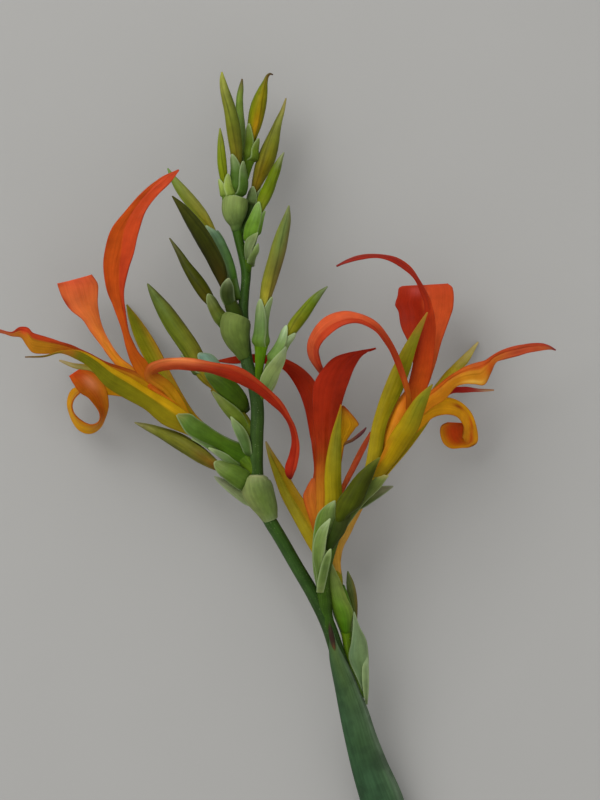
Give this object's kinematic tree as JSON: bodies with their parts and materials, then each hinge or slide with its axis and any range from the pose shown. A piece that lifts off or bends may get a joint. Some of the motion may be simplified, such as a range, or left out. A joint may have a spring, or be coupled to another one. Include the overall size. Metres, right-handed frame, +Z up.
{
  "type": "canna flower",
  "caption": "Picked canna flower head lying on its side: curving stalk in a waxy leaf sheath, olive buds in pointed bracts and open orange-red flowers.",
  "frame": {"origin": "centre of the bounding box's bottom face, on the surface the flower head lies on", "axes": "+Y from the cut end of the stalk towards the top buds, +X across the spread of the flowers, +Z up, away from the surface"},
  "size_m": [0.122, 0.1718, 0.0321],
  "materials": {
    "stalk_green": "satin, fresh green plant tissue",
    "waxy_grey_green": "matt with a waxy bloom",
    "bud_olive": "satin",
    "bud_dark": "satin",
    "petal_green_yellow": "satin",
    "staminode_orange_red": "satin, silky petal"
  },
  "bodies": {
    "root": {"stalk": "stalk_green", "leaf_sheath": "waxy_grey_green", "bud_top_front": "bud_olive", "bud_top_back": "bud_olive", "bud_top_hooked": "bud_olive", "bud_right_long": "bud_olive", "bud_right_short": "bud_olive", "bud_left_small": "bud_olive", "bud_middle_back": "bud_olive", "bud_middle_dark": "bud_dark", "bud_middle_front": "bud_olive", "bud_left_big": "bud_olive", "bud_right_tall": "bud_olive", "bud_right_low": "bud_olive", "bud_under_left_flower": "bud_olive", "bud_lowest": "bud_olive", "left_flower_petals": "petal_green_yellow", "left_flower_staminodes": "staminode_orange_red", "centre_flower_petals": "petal_green_yellow", "centre_flower_staminodes": "staminode_orange_red", "right_flower_petals": "petal_green_yellow", "right_flower_staminodes": "staminode_orange_red"}
  },
  "joints": []
}
